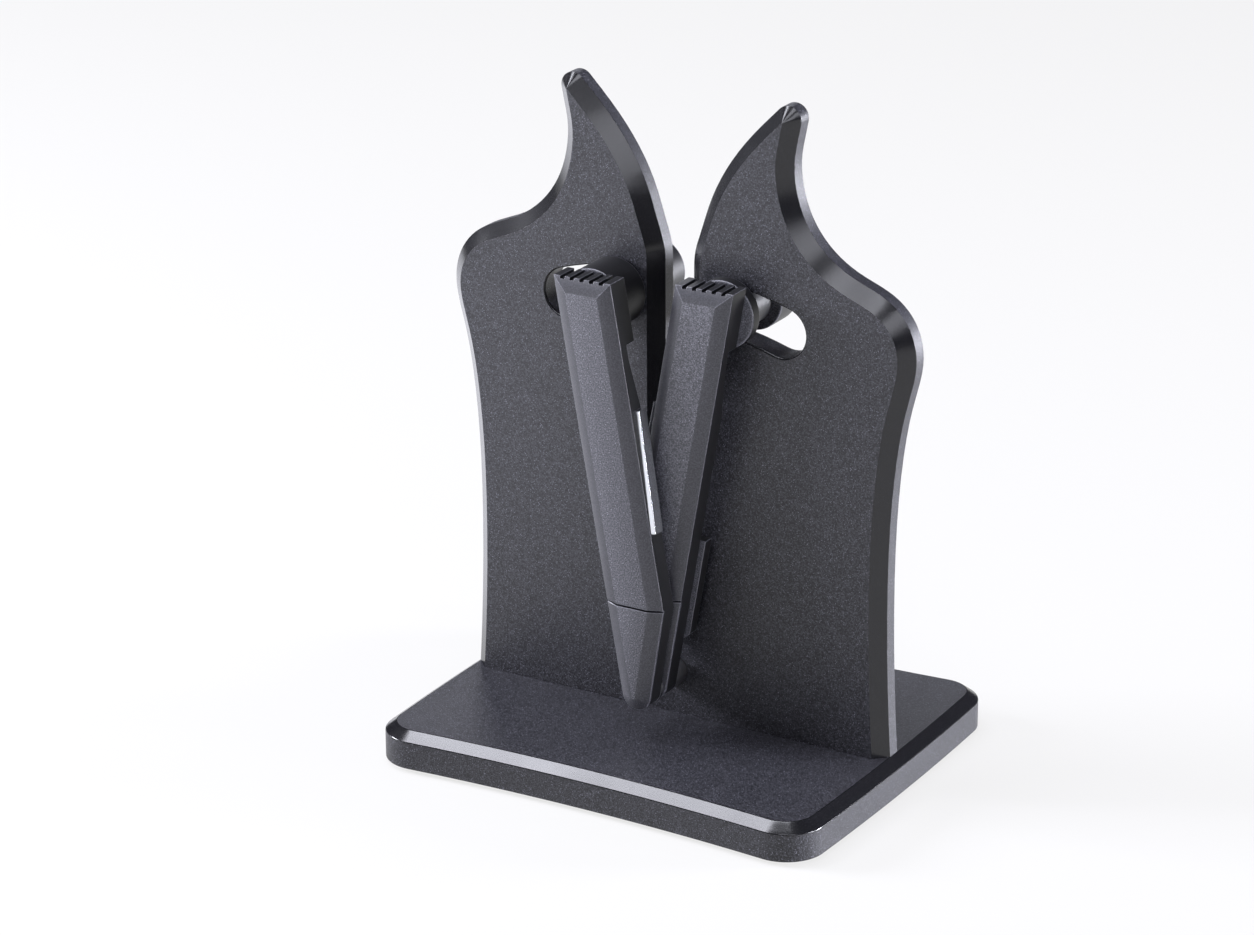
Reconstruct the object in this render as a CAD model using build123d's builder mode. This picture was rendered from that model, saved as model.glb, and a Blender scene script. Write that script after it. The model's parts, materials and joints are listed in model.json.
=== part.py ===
from build123d import *
import os
from math import acos, atan2, cos, degrees, hypot, radians, sin

# Pull through knife sharpener: a weighted base, an upright plate with two horned wings, and two
# crossing sprung arms that swing about one pin. Millimetres. X runs across the width, -Y is the
# front, +Z is up, and the origin lies on the table under the middle of the base.

# Base
base_width = 134.0
base_depth = 110.0
base_corner_radius = 11.0
side_bow = 1.4
front_hollow = 3.3
skirt_height = 7.8
base_bevel_run = 3.1
base_bevel_rise = 2.3
base_wall = 2.6
roof_thickness = 2.6
cover_plate_thickness = 2.0
cover_plate_play = 0.2
foot_radius = 6.4
foot_stand = 1.3
foot_seat_depth = 0.8
foot_inset_x = 16.0
foot_inset_y = 11.2
foot_edge = 0.5
ballast_inset_x = 13.0
ballast_inset_y = 17.0
ballast_corner = 6.0
ballast_play = 1.4
cover_boss_radius = 4.0
cover_boss_inset_x = 35.0
cover_boss_inset_y = 11.0

# Upright plate
horn_rise = 47.3
shoulder_half_width = 69.3
upright_thickness = 11.2
edge_bevel = 3.6
front_cover_thickness = 3.7
gap_half_width = 4.3
gap_floor_height = 50.0
horn_tip_radius = 3.7
horn_tip_share = 0.459
horn_outer_lean = 10.0
wing_foot_lean = 4.0
horn_inner_turn = 136.0
shell_rim = 4.0
shell_back_wall = 2.4
slot_wall = 3.0
slot_edge_round = 0.6
slot_bevel_run = 2.0

# Pivot
pivot_height = 24.0
pin_radius = 1.75
pin_head_radius = 4.0
pin_head_height = 1.2
left_hub_radius = 2.75
right_hub_radius = 3.4
hub_shoulder_radius = 4.2
hub_end_play = 0.2
clip_thickness = 0.6
clip_groove_depth = 0.35
clip_width = 1.2
clip_mouth = 1.6
clip_pocket_depth = 1.8
pin_end_play = 0.4
running_fit = 0.05

# Return springs, flat spirals round the two hubs
spring_strip = 0.7
spring_strip_width = 2.6
spring_start_radius = 4.9
spring_half_pitch = 0.8
spring_half_turns = 4
spring_bend = 0.8
spring_rise = 8.2
spring_post_radius = 1.4
spring_tab_radius = 3.3
spring_pocket_radius = 11.2
spring_pocket_rise = 2.6
spring_pocket_depth = 1.4
spring_side_play = 0.3

# Arms
arm_lean = 10.0
arm_width = 16.8
arm_depth = 7.4
nose_radius = 4.2
arm_top_height = 137.4
seam_height = 49.5
arm_bevel_run = 3.7
arm_bevel_depth = 1.8
seam_groove = 0.5
tip_cover_thickness = 2.2
tip_peg_radius = 1.2
tip_peg_length = 2.4
tip_peg_height = 32.0
layer_gap = 0.5
arm_gap = 1.0
waist_depth = 4.8
waist_drop = 20.4
waist_start_drop = 36.4
head_block_drop = 16.9
head_block_extra = 1.4
rib_count = 5
rib_groove_width = 1.3
rib_groove_depth = 1.1
rib_pitch = 2.9
rib_set_back = 1.5

# Hinge plate behind the right arm, where it fills part of the room in front of the upright
hinge_plate_thickness = 3.4
hinge_plate_gap = 2.2
hinge_plate_top = 65.5
hinge_plate_inset = 0.9
step_out = 1.5
step_bottom = 38.0

# Round head that runs in the wing's slot
head_spread = 17.0
head_drop = 8.6
head_radius = 9.2
neck_radius = 6.3
slot_half_width = 6.85
arm_travel = 8.5
spigot_radius = 3.0
spigot_length = 4.0
cap_radius = 8.9
cap_length = 10.0
cap_gap = 0.4
cap_edge = 1.0
cap_screw_sink = 0.6

# Sharpening bar
bar_length = 33.5
bar_depth = 3.8
bar_proud = 1.5
bar_seat = 2.0
bar_tilt = 2.4
bar_middle_height = 86.8
bar_set_back = 0.9
bar_edge = 0.3

# Screws, each a head on a shank
small_screw_radius = 1.25
small_head_radius = 2.8
small_head_height = 1.3
mount_screw_radius = 1.65
mount_head_radius = 3.4
mount_head_height = 2.4
mount_screw_length = 14.0
mount_inset = 21.0
mount_boss_width = 10.0
mount_boss_height = 14.0
hinge_screw_radius = 1.0
hinge_head_radius = 2.1
hinge_head_height = 1.4
hinge_screw_bite = 3.5
hinge_screw_low = 42.0
hinge_screw_high = 58.0
joint_screw_length = 7.2
base_screw_length = 5.0
cap_screw_length = 14.0
screw_boss_wall = 2.2
screw_play = 0.05
head_play = 0.15
driver_recess_share = 0.5
overrun = 2.0

# Heights and depths that follow from the sizes
base_top = foot_stand + skirt_height + base_bevel_rise
roof_underside = base_top - roof_thickness
cover_plate_top = foot_stand + cover_plate_thickness
upright_top = arm_top_height + horn_rise
upright_height = upright_top - base_top
head_height = arm_top_height - head_drop
head_block_height = arm_top_height - head_block_drop
waist_height = arm_top_height - waist_drop
waist_start_height = arm_top_height - waist_start_drop
front_face = -upright_thickness / 2
back_face = upright_thickness / 2
parting = front_face + front_cover_thickness
shell_floor = back_face - shell_back_wall
head_swing_radius = hypot(head_spread, head_height - pivot_height)
head_rest_angle = degrees(atan2(head_spread, head_height - pivot_height))
arm_stack = arm_depth + arm_gap
inner_side = arm_width - nose_radius
neck_front = front_face - layer_gap
cap_front = back_face + cap_gap
joint_screw_bite = joint_screw_length - (back_face - small_head_height - parting)

# Where each arm lies: the right one next to the upright, the left one in front of it
side_sign = {"left": 1, "right": -1}
arm_back = {"right": front_face - hinge_plate_gap - hinge_plate_thickness}
arm_back["left"] = arm_back["right"] - arm_stack
hub_radius = {"left": left_hub_radius, "right": right_hub_radius}

# Places along the pin, front to back
tip_floor = arm_back["left"] - arm_depth + arm_bevel_depth
pin_front = tip_floor + pin_end_play
left_hub_front = arm_back["left"] - arm_depth + tip_cover_thickness + clip_pocket_depth
clip_back = left_hub_front - hub_end_play
hub_rear = shell_floor - hub_end_play
right_spring_back = parting - spring_pocket_depth + spring_side_play + spring_strip_width
left_spring_front = hub_rear - spring_side_play - spring_strip_width
left_spring_back = left_spring_front + spring_strip_width

# Wing outline, as shares of the shoulder's half width and of the upright's height
foot_share = (0.921, 0.0)
outer_edge_shares = [
    (0.8975, 0.24),
    (0.921, 0.465),
    (0.966, 0.57),
    (1.0, 0.641),
    (0.97, 0.69),
    (0.888, 0.726),
    (0.735, 0.754),
    (0.62, 0.784),
    (0.54, 0.824),
    (0.494, 0.875),
    (0.486, 0.918),
]
inner_edge_shares = [
    (0.351, 0.965),
    (0.254, 0.920),
    (0.179, 0.874),
    (0.126, 0.827),
    (0.088, 0.780),
]
inner_end_share = 0.728

# Places of the screws that join the two halves of the upright, in the same shares
joint_screw_shares = [(0.78, 0.085), (0.81, 0.42), (0.86, 0.60), (0.33, 0.81), (0.26, 0.36)]

os.makedirs("parts", exist_ok=True)


def facing_front(y):
    """Plane across the width at depth y. Its own axes are X and Z, and it faces the front."""
    return Plane.XZ.offset(-y)


def wing_point(shares):
    """Point of the wing outline from its shares of half width and height."""
    return (shares[0] * shoulder_half_width, base_top + shares[1] * upright_height)


def base_outline(inset=0):
    """Plan of the base, or of a wall's inset of it: bowed sides, hollow front and back."""
    side_x = base_width / 2 - inset
    corner_x = side_x - side_bow
    corner_y = base_depth / 2 - inset
    hollow_y = corner_y - front_hollow
    with BuildLine() as edge_lines:
        ThreePointArc((-corner_x, -corner_y), (0, -hollow_y), (corner_x, -corner_y))
        ThreePointArc((corner_x, -corner_y), (side_x, 0), (corner_x, corner_y))
        ThreePointArc((corner_x, corner_y), (0, hollow_y), (-corner_x, corner_y))
        ThreePointArc((-corner_x, corner_y), (-side_x, 0), (-corner_x, -corner_y))
    outline = make_face(edge_lines.edges())
    fillet(outline.vertices(), base_corner_radius - inset)


def wing_edges():
    """Outer edge, horn tip and inner edge of the right wing, from its foot to the blade gap."""
    tip = (horn_tip_share * shoulder_half_width, upright_top - horn_tip_radius)
    foot_lean = radians(wing_foot_lean)
    lean = radians(horn_outer_lean)
    turn = radians(horn_inner_turn)
    with BuildLine():
        tip_arc = CenterArc(tip, horn_tip_radius, -horn_outer_lean, horn_outer_lean + horn_inner_turn)
        outer = Spline(
            [wing_point(foot_share)] + [wing_point(place) for place in outer_edge_shares] + [tip_arc @ 0],
            tangents=[(-sin(foot_lean), cos(foot_lean)), (sin(lean), cos(lean))],
        )
        inner = Spline(
            [tip_arc @ 1]
            + [wing_point(place) for place in inner_edge_shares]
            + [(gap_half_width, base_top + inner_end_share * upright_height)],
            tangents=[(-sin(turn), cos(turn)), (0, -1)],
        )
    return outer, tip_arc, inner


def upright_outline():
    """Front view of the upright: two horned wings with the blade gap between them."""
    outer, tip_arc, inner = wing_edges()
    gap_center = base_top + gap_floor_height + gap_half_width
    with BuildLine() as rest:
        Line((0, base_top), outer @ 0)
        Line(inner @ 1, (gap_half_width, gap_center))
        floor_arc = CenterArc((0, gap_center), gap_half_width, 0, -90)
        Line(floor_arc @ 1, (0, base_top))
    make_face([outer, tip_arc, inner] + rest.edges())
    mirror(about=Plane.YZ)


def inset_points(edge, shares, inset):
    """Outline points of an edge, each moved square to it, into the wing."""
    places = [edge.param_at_point(wing_point(place)) for place in shares]
    return [edge @ place + (edge % place).rotate(Axis.Z, 90) * inset for place in places]


def hollow_outline(inset):
    """Outline of the rear shell's hollow, an inset within the wings up to the root of the horns."""
    outer, tip_arc, inner = wing_edges()
    gap_center = base_top + gap_floor_height + gap_half_width
    gap_side = gap_half_width + inset
    foot = wing_point(foot_share)[0] - inset
    with BuildLine() as edge_lines:
        Line((0, base_top + inset), (foot, base_top + inset))
        rise = Spline([(foot, base_top + inset)] + inset_points(outer, outer_edge_shares, inset))
        fall = Spline(
            inset_points(inner, inner_edge_shares[1:], inset)
            + [(gap_side, base_top + inner_end_share * upright_height)]
        )
        Line(rise @ 1, fall @ 0)
        Line(fall @ 1, (gap_side, gap_center))
        CenterArc((0, gap_center), gap_side, 0, -90)
        Line((0, gap_center - gap_side), (0, base_top + inset))
    make_face(edge_lines.edges())
    mirror(about=Plane.YZ)


def cut_slots(half_width):
    """Cut the arc slots of both wings, centred on the pivot, with round ends."""
    for low in (90 - head_rest_angle - arm_travel, 90 + head_rest_angle):
        high = low + arm_travel
        ends = [
            (
                head_swing_radius * cos(radians(angle)),
                pivot_height + head_swing_radius * sin(radians(angle)),
            )
            for angle in (low, high)
        ]
        with BuildLine() as edge_lines:
            CenterArc((0, pivot_height), head_swing_radius + half_width, low, arm_travel)
            CenterArc(ends[1], half_width, high, 180)
            CenterArc((0, pivot_height), head_swing_radius - half_width, low, arm_travel)
            CenterArc(ends[0], half_width, low + 180, 180)
        make_face(edge_lines.edges(), mode=Mode.SUBTRACT)


def joint_screw_places():
    """Centres of the screws that join the halves of the upright, on both wings."""
    right = [wing_point(place) for place in joint_screw_shares]
    return right + [(-x, z) for x, z in right]


def edges_above_foot(face):
    """Outer edges of a face of the upright, without the one that stands on the base."""
    edges = face.outer_wire().edges()
    return [edge for edge in edges if edge.center().Z > base_top + horn_tip_radius]


def arm_plane(side, y):
    """Plane of an arm at depth y. Its origin is the pivot and its own Y runs up the arm."""
    lean = radians(arm_lean)
    across = (cos(lean), 0, side_sign[side] * sin(lean))
    return Plane(origin=(0, y, pivot_height), x_dir=across, z_dir=(0, -1, 0))


def arm_side_plane(side, t):
    """Plane that faces an arm's inner side, t from the pivot. Its own X is the row's Y."""
    lean = radians(arm_lean)
    across = Vector(cos(lean), 0, side_sign[side] * sin(lean))
    return Plane(
        origin=Vector(0, 0, pivot_height) + across * side_sign[side] * t, x_dir=(0, 1, 0), z_dir=across
    )


def along_arm(t, height):
    """Distance up the arm, on the line t from the pivot, of a height above the table at rest."""
    lean = radians(arm_lean)
    return (height - pivot_height - t * sin(lean)) / cos(lean)


def arm_point(side, t, height):
    """Point in an arm's plane from its distance t towards the inner side and its height."""
    return (side_sign[side] * t, along_arm(t, height))


def nose_tangent(t, reach):
    """Point where a line from (t, reach) meets the round nose, in an arm's plane."""
    angle = atan2(reach, t) - acos(nose_radius / hypot(t, reach))
    return (nose_radius * cos(angle), nose_radius * sin(angle))


def arm_outline(side):
    """Outline of an arm: straight outer side, level top, inner side bent back to the round nose."""
    sign = side_sign[side]
    bend = arm_point(side, inner_side, seam_height)
    touch = nose_tangent(inner_side, bend[1])
    with BuildLine() as edge_lines:
        Polyline(
            (-sign * nose_radius, 0),
            arm_point(side, -nose_radius, arm_top_height),
            arm_point(side, inner_side, arm_top_height),
            bend,
            (sign * touch[0], touch[1]),
        )
        ThreePointArc((sign * touch[0], touch[1]), (0, -nose_radius), (-sign * nose_radius, 0))
    make_face(edge_lines.edges())


def level_band(side, low, high, mode=Mode.ADD):
    """Area of an arm's plane between two heights above the table."""
    far = 2 * arm_width
    with BuildLine() as edge_lines:
        Polyline(
            arm_point(side, -far, high),
            arm_point(side, far, high),
            arm_point(side, far, low),
            arm_point(side, -far, low),
            close=True,
        )
    make_face(edge_lines.edges(), mode=mode)


def hinge_plate_outline(side):
    """Outline of the hinge plate, drawn in inside and stepped out past the arm's outer side."""
    sign = side_sign[side]
    inner = inner_side - hinge_plate_inset
    outer = nose_radius + step_out
    bend = arm_point(side, inner, seam_height)
    touch = nose_tangent(inner, bend[1])
    with BuildLine() as edge_lines:
        Polyline(
            arm_point(side, -nose_radius, step_bottom - step_out),
            arm_point(side, -outer, step_bottom),
            arm_point(side, -outer, hinge_plate_top),
            arm_point(side, inner, hinge_plate_top),
            bend,
            (sign * touch[0], touch[1]),
            close=True,
        )
    make_face(edge_lines.edges())
    level_band(side, step_bottom - step_out, hinge_plate_top, mode=Mode.INTERSECT)


def hinge_screw_places(side):
    """Centres of the two screws between hinge plate and arm, in the arm's plane."""
    middle = (inner_side - nose_radius) / 2
    return [arm_point(side, middle, height) for height in (hinge_screw_low, hinge_screw_high)]


def head_place(side):
    """Centre of an arm's round head, seen from the front."""
    return (-side_sign[side] * head_spread, head_height)


def screws(head_plane, places, head_radius, head_height, shank_radius, length):
    """Equal screws with a hexagon recess. Their heads stand on the plane and point away from it."""
    with BuildPart() as group:
        with BuildSketch(head_plane):
            with Locations(*places):
                Circle(head_radius)
        extrude(amount=head_height)
        with BuildSketch(head_plane.offset(head_height)):
            with Locations(*places):
                Circle(shank_radius)
        extrude(amount=length)
        with BuildSketch(head_plane):
            with Locations(*places):
                RegularPolygon(head_radius * driver_recess_share, 6)
        extrude(amount=head_height * driver_recess_share, mode=Mode.SUBTRACT)
    return group.part


def keep(part, name):
    """Label a finished piece and write it."""
    part.label = name
    export_step(part, f"parts/{name}.step")


def spring_line(sign):
    """Centre line of a return spring: tab, turns of half circles, and a hook round its post."""
    start = (sign * spring_start_radius, spring_bend)
    radius = spring_start_radius
    with BuildLine() as line:
        tab = Line((sign * spring_tab_radius, 0), (sign * (spring_start_radius - spring_bend), 0))
        TangentArc(tab @ 1, start, tangent=(sign, 0))
        for half_turn in range(spring_half_turns):
            reach = -2 * radius if half_turn % 2 == 0 else 2 * radius
            end = (start[0] + sign * reach, spring_bend)
            heading = (0, 1) if half_turn % 2 == 0 else (0, -1)
            TangentArc(start, end, tangent=heading)
            start = end
            radius += spring_half_pitch
        rise = Line(start, (start[0], spring_rise))
        hook = spring_post_radius + spring_strip / 2 + running_fit
        TangentArc(rise @ 1, (start[0] - sign * 2 * hook, spring_rise), tangent=(0, 1))
    return line.line


def spring_post_place(sign):
    """Centre of the post that holds a return spring's hook."""
    end_radius = spring_start_radius + spring_half_turns * spring_half_pitch
    hook = spring_post_radius + spring_strip / 2 + running_fit
    return (sign * (end_radius - hook), pivot_height + spring_rise)


# Base shell, open below, with a roof that carries the upright
mount_screw_depth = (parting + shell_floor) / 2
mount_x = base_width / 2 - mount_inset
mount_places = [(side * mount_x, mount_screw_depth) for side in (-1, 1)]
cover_boss_x = base_width / 2 - cover_boss_inset_x
cover_boss_y = base_depth / 2 - cover_boss_inset_y
cover_boss_places = [
    (across * cover_boss_x, along * cover_boss_y) for across in (-1, 1) for along in (-1, 1)
]
with BuildPart() as base_shell:
    with BuildSketch(Plane.XY.offset(foot_stand)):
        base_outline()
    extrude(amount=skirt_height + base_bevel_rise)
    top_face = base_shell.faces().sort_by(Axis.Z)[-1]
    chamfer(top_face.edges(), base_bevel_run, base_bevel_rise, reference=top_face)
    with BuildSketch(Plane.XY.offset(foot_stand)):
        base_outline(base_wall)
    extrude(amount=cover_plate_thickness, mode=Mode.SUBTRACT)
    with BuildSketch(Plane.XY.offset(cover_plate_top)):
        base_outline(base_wall)
        with Locations(*cover_boss_places):
            Circle(cover_boss_radius, mode=Mode.SUBTRACT)
    extrude(amount=roof_underside - cover_plate_top, mode=Mode.SUBTRACT)
    with BuildSketch(Plane.XY.offset(cover_plate_top)):
        with Locations(*cover_boss_places):
            Circle(small_screw_radius + screw_play)
    extrude(amount=roof_underside - cover_plate_top, mode=Mode.SUBTRACT)
    with BuildSketch(Plane.XY.offset(roof_underside)):
        with Locations(*mount_places):
            Circle(mount_screw_radius + screw_play)
    extrude(amount=roof_thickness, mode=Mode.SUBTRACT)
keep(base_shell.part, "base_shell")

# Ballast plate, a steel slab under the roof with openings for the upright's screw heads
ballast_length = base_width - 2 * ballast_inset_x
ballast_breadth = base_depth - 2 * ballast_inset_y
with BuildPart() as ballast_plate:
    with BuildSketch(Plane.XY.offset(cover_plate_top)):
        RectangleRounded(ballast_length, ballast_breadth, ballast_corner)
        with Locations(*mount_places):
            Circle(mount_head_radius + ballast_play, mode=Mode.SUBTRACT)
    extrude(amount=roof_underside - cover_plate_top)
keep(ballast_plate.part, "ballast_plate")

# Base cover, screwed up against the bosses, with a seat for each foot
foot_x = base_width / 2 - foot_inset_x
foot_y = base_depth / 2 - foot_inset_y
with BuildPart() as base_cover:
    with BuildSketch(Plane.XY.offset(foot_stand)):
        base_outline(base_wall + cover_plate_play)
        with Locations(*cover_boss_places):
            Circle(small_screw_radius + screw_play, mode=Mode.SUBTRACT)
    extrude(amount=cover_plate_thickness)
    with BuildSketch(Plane.XY.offset(foot_stand)):
        with Locations(*cover_boss_places):
            Circle(small_head_radius + head_play)
    extrude(amount=small_head_height, mode=Mode.SUBTRACT)
    with BuildSketch(Plane.XY.offset(foot_stand)):
        with GridLocations(2 * foot_x, 2 * foot_y, 2, 2):
            Circle(foot_radius + head_play)
    extrude(amount=foot_seat_depth, mode=Mode.SUBTRACT)
keep(base_cover.part, "base_cover")

# Screws of the base cover
base_screws = screws(
    Plane.XY.offset(foot_stand),
    cover_boss_places,
    small_head_radius,
    small_head_height,
    small_screw_radius,
    base_screw_length,
)
keep(base_screws, "base_cover_screws")

# Four rubber feet
for depth_name, y in (("front", -foot_y), ("rear", foot_y)):
    for side, x in (("left", -foot_x), ("right", foot_x)):
        with BuildPart() as foot:
            with BuildSketch(Plane.XY):
                with Locations((x, y)):
                    Circle(foot_radius)
            extrude(amount=foot_stand + foot_seat_depth)
            chamfer(foot.faces().sort_by(Axis.Z)[0].edges(), foot_edge)
        keep(foot.part, f"foot_{depth_name}_{side}")

# Front cover of the upright, bevelled all round, with the round-edged slots
right_post = spring_post_place(side_sign["right"])
with BuildPart() as front_cover:
    with BuildSketch(facing_front(parting)):
        upright_outline()
        cut_slots(slot_half_width)
    extrude(amount=front_cover_thickness)
    front = front_cover.faces().sort_by(Axis.Y)[0]
    chamfer(edges_above_foot(front), edge_bevel, edge_bevel, reference=front)
    front = front_cover.faces().sort_by(Axis.Y)[0]
    fillet([edge for wire in front.inner_wires() for edge in wire.edges()], slot_edge_round)
    with BuildSketch(facing_front(parting)):
        with Locations((0, pivot_height)):
            Circle(hub_shoulder_radius + running_fit)
    extrude(amount=front_cover_thickness, mode=Mode.SUBTRACT)
    with BuildSketch(facing_front(parting)):
        with Locations((0, pivot_height + spring_pocket_rise)):
            Circle(spring_pocket_radius)
    extrude(amount=spring_pocket_depth, mode=Mode.SUBTRACT)
    with BuildSketch(facing_front(right_spring_back)):
        with Locations(right_post):
            Circle(spring_post_radius)
    extrude(amount=spring_strip_width + spring_side_play)
    with BuildSketch(facing_front(parting)):
        with Locations(*joint_screw_places()):
            Circle(small_screw_radius + screw_play)
    extrude(amount=joint_screw_bite + screw_play, mode=Mode.SUBTRACT)
keep(front_cover.part, "frame_front_cover")

# Rear shell of the upright, bevelled behind and hollow, with bosses for the screws
left_post = spring_post_place(side_sign["left"])
with BuildPart() as rear_shell:
    with BuildSketch(facing_front(back_face)):
        upright_outline()
        cut_slots(slot_half_width)
    extrude(amount=back_face - parting)
    back = rear_shell.faces().sort_by(Axis.Y)[-1]
    chamfer(edges_above_foot(back), edge_bevel, edge_bevel, reference=back)
    back = rear_shell.faces().sort_by(Axis.Y)[-1]
    slot_edges = [edge for wire in back.inner_wires() for edge in wire.edges()]
    chamfer(slot_edges, slot_bevel_run, edge_bevel, reference=back)
    with BuildSketch(facing_front(shell_floor)):
        hollow_outline(shell_rim)
        cut_slots(slot_half_width + slot_wall)
        with Locations(*joint_screw_places()):
            Circle(small_screw_radius + screw_boss_wall, mode=Mode.SUBTRACT)
        with Locations(*[(x, base_top + mount_boss_height / 2) for x, y in mount_places]):
            Rectangle(mount_boss_width, mount_boss_height, mode=Mode.SUBTRACT)
        with Locations(left_post):
            Circle(spring_post_radius, mode=Mode.SUBTRACT)
    extrude(amount=shell_floor - parting, mode=Mode.SUBTRACT)
    with BuildSketch(facing_front(parting)):
        with Locations(left_post):
            Circle(spring_post_radius)
    extrude(amount=-(left_spring_front - parting), mode=Mode.SUBTRACT)
    with BuildSketch(facing_front(back_face)):
        with Locations(*joint_screw_places()):
            Circle(small_screw_radius + screw_play)
        with Locations((0, pivot_height)):
            Circle(pin_radius + running_fit)
    extrude(amount=back_face - parting, mode=Mode.SUBTRACT)
    with BuildSketch(facing_front(back_face)):
        with Locations(*joint_screw_places()):
            Circle(small_head_radius + head_play)
    extrude(amount=small_head_height, mode=Mode.SUBTRACT)
    with BuildSketch(facing_front(back_face)):
        with Locations((0, pivot_height)):
            Circle(pin_head_radius + head_play)
    extrude(amount=pin_head_height, mode=Mode.SUBTRACT)
    with BuildSketch(Plane.XY.offset(base_top)):
        with Locations(*mount_places):
            Circle(mount_screw_radius + screw_play)
    extrude(amount=mount_screw_length - roof_thickness + screw_play, mode=Mode.SUBTRACT)
keep(rear_shell.part, "frame_rear_shell")

# Screws between the halves of the upright, and screws that hold it on the base
joint_screws = screws(
    facing_front(back_face),
    joint_screw_places(),
    small_head_radius,
    small_head_height,
    small_screw_radius,
    joint_screw_length,
)
keep(joint_screws, "frame_joint_screws")
mount_screws = screws(
    Plane.XY.offset(roof_underside - mount_head_height),
    mount_places,
    mount_head_radius,
    mount_head_height,
    mount_screw_radius,
    mount_screw_length,
)
keep(mount_screws, "frame_mount_screws")

# Pivot pin, headed behind, with a groove for its clip in front
with BuildPart() as pivot_pin:
    with BuildSketch(facing_front(back_face)):
        with Locations((0, pivot_height)):
            Circle(pin_head_radius)
    extrude(amount=pin_head_height)
    with BuildSketch(facing_front(back_face - pin_head_height)):
        with Locations((0, pivot_height)):
            Circle(pin_radius)
    extrude(amount=back_face - pin_head_height - pin_front)
    with BuildSketch(facing_front(clip_back)):
        with Locations((0, pivot_height)):
            Circle(pin_radius)
            Circle(pin_radius - clip_groove_depth, mode=Mode.SUBTRACT)
    extrude(amount=clip_thickness, mode=Mode.SUBTRACT)
keep(pivot_pin.part, "pivot_pin")

# Open clip in the pin's groove
with BuildPart() as pivot_clip:
    with BuildSketch(facing_front(clip_back)):
        with Locations((0, pivot_height)):
            Circle(pin_radius + clip_width)
            Circle(pin_radius - clip_groove_depth, mode=Mode.SUBTRACT)
        with Locations((0, pivot_height - pin_radius)):
            Rectangle(clip_mouth, 2 * pin_radius, mode=Mode.SUBTRACT)
    extrude(amount=clip_thickness)
keep(pivot_clip.part, "pivot_clip")

# Return springs, each hooked round a post of the upright
for side, spring_back in (("left", left_spring_back), ("right", right_spring_back)):
    spring_plane = Plane(origin=(0, spring_back, pivot_height), x_dir=(1, 0, 0), z_dir=(0, -1, 0))
    with BuildPart() as spring:
        with BuildSketch(spring_plane):
            trace(spring_line(side_sign[side]), spring_strip)
        extrude(amount=spring_strip_width)
    keep(spring.part, f"{side}_return_spring")

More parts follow.
